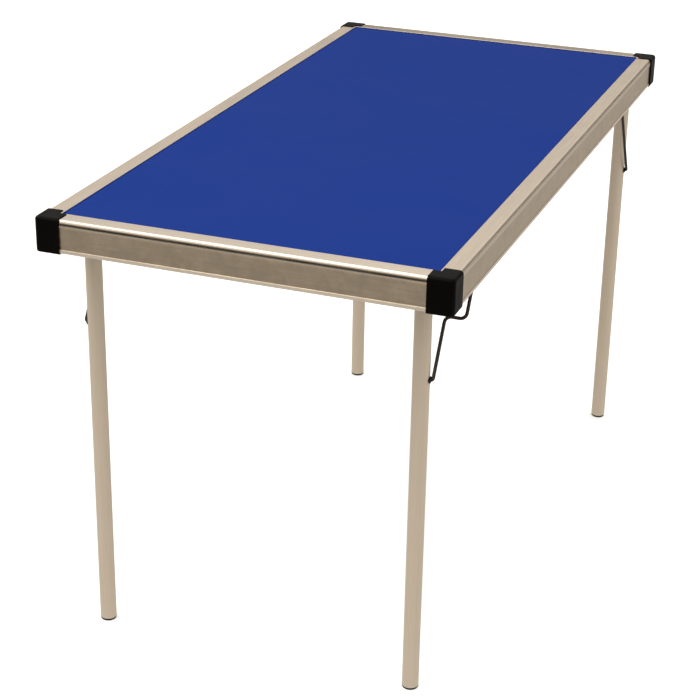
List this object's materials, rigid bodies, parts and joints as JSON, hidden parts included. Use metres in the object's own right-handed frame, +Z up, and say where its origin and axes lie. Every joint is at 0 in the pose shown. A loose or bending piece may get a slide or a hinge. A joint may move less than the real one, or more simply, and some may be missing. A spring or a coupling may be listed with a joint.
{
  "type": "folding table",
  "caption": "Rectangular folding table: blue laminate top in a deep aluminium edge frame with black corner caps, on round tube leg frames that fold under and lock with wire stays.",
  "frame": {"origin": "on the floor, at the middle of the table's outline", "axes": "+Z up, +Y along the long side towards the back end, +X across to the right side"},
  "size_m": [0.61, 1.22, 0.6993],
  "materials": {
    "rail": "fine brushed, warm anodised",
    "laminate": "plain blue high-pressure laminate, fine satin texture",
    "board": "particle board core",
    "backer": "brown balancing laminate",
    "cap": "black moulded, satin",
    "angle": "zinc plated",
    "bracket": "black moulded nylon",
    "catch": "zinc plated pressed steel",
    "screw": "zinc plated",
    "leg": "satin champagne metallic coat on steel tube",
    "foot": "black moulded",
    "stay": "drawn steel wire, dull plated",
    "bush": "black moulded"
  },
  "bodies": {
    "table_top": {"front_rail": "rail", "right_rail": "rail", "back_rail": "rail", "left_rail": "rail", "blue_laminate": "laminate", "table_board": "board", "underside_laminate": "backer", "front_left_corner_cap": "cap", "front_left_corner_angle": "angle", "front_left_pivot_bracket": "bracket", "front_left_stay_catch": "catch", "front_left_bracket_screw_1": "screw", "front_left_bracket_screw_2": "screw", "front_left_catch_screw_1": "screw", "front_left_catch_screw_2": "screw", "front_right_corner_cap": "cap", "front_right_corner_angle": "angle", "front_right_pivot_bracket": "bracket", "front_right_stay_catch": "catch", "front_right_bracket_screw_1": "screw", "front_right_bracket_screw_2": "screw", "front_right_catch_screw_1": "screw", "front_right_catch_screw_2": "screw", "back_right_corner_cap": "cap", "back_right_corner_angle": "angle", "back_right_pivot_bracket": "bracket", "back_right_stay_catch": "catch", "back_right_bracket_screw_1": "screw", "back_right_bracket_screw_2": "screw", "back_right_catch_screw_1": "screw", "back_right_catch_screw_2": "screw", "back_left_corner_cap": "cap", "back_left_corner_angle": "angle", "back_left_pivot_bracket": "bracket", "back_left_stay_catch": "catch", "back_left_bracket_screw_1": "screw", "back_left_bracket_screw_2": "screw", "back_left_catch_screw_1": "screw", "back_left_catch_screw_2": "screw"},
    "front_leg_frame": {"front_crossbar": "leg", "front_left_leg": "leg", "front_left_foot": "foot", "front_left_stay_bush": "bush", "front_right_leg": "leg", "front_right_foot": "foot", "front_right_stay_bush": "bush"},
    "back_leg_frame": {"back_crossbar": "leg", "back_left_leg": "leg", "back_left_foot": "foot", "back_left_stay_bush": "bush", "back_right_leg": "leg", "back_right_foot": "foot", "back_right_stay_bush": "bush"},
    "front_left_stay": {"front_left_stay": "stay"},
    "front_right_stay": {"front_right_stay": "stay"},
    "back_right_stay": {"back_right_stay": "stay"},
    "back_left_stay": {"back_left_stay": "stay"}
  },
  "joints": [
    {"name": "front_leg_fold", "type": "hinge", "parent": "table_top", "child": "front_leg_frame", "pos_m": [0, -0.506, 0.66249], "axis": [1, 0, 0], "range_deg": [0, 90]},
    {"name": "back_leg_fold", "type": "hinge", "parent": "table_top", "child": "back_leg_frame", "pos_m": [0, 0.506, 0.66249], "axis": [-1, 0, 0], "range_deg": [0, 90]},
    {"name": "front_left_stay_turn", "type": "hinge", "parent": "front_leg_frame", "child": "front_left_stay", "pos_m": [-0.288, -0.506, 0.50449], "axis": [1, 0, 0], "range_deg": [-148.9, 0]},
    {"name": "front_right_stay_turn", "type": "hinge", "parent": "front_leg_frame", "child": "front_right_stay", "pos_m": [0.248, -0.506, 0.50449], "axis": [1, 0, 0], "range_deg": [-148.9, 0]},
    {"name": "back_right_stay_turn", "type": "hinge", "parent": "back_leg_frame", "child": "back_right_stay", "pos_m": [0.288, 0.506, 0.50449], "axis": [-1, 0, 0], "range_deg": [-148.9, 0]},
    {"name": "back_left_stay_turn", "type": "hinge", "parent": "back_leg_frame", "child": "back_left_stay", "pos_m": [-0.248, 0.506, 0.50449], "axis": [-1, 0, 0], "range_deg": [-148.9, 0]}
  ],
  "couplings": [
    {"joint": "front_left_stay_turn", "follows": "front_leg_fold", "ratio": -1.6544},
    {"joint": "front_right_stay_turn", "follows": "front_leg_fold", "ratio": -1.6544},
    {"joint": "back_right_stay_turn", "follows": "back_leg_fold", "ratio": -1.6544},
    {"joint": "back_left_stay_turn", "follows": "back_leg_fold", "ratio": -1.6544}
  ]
}
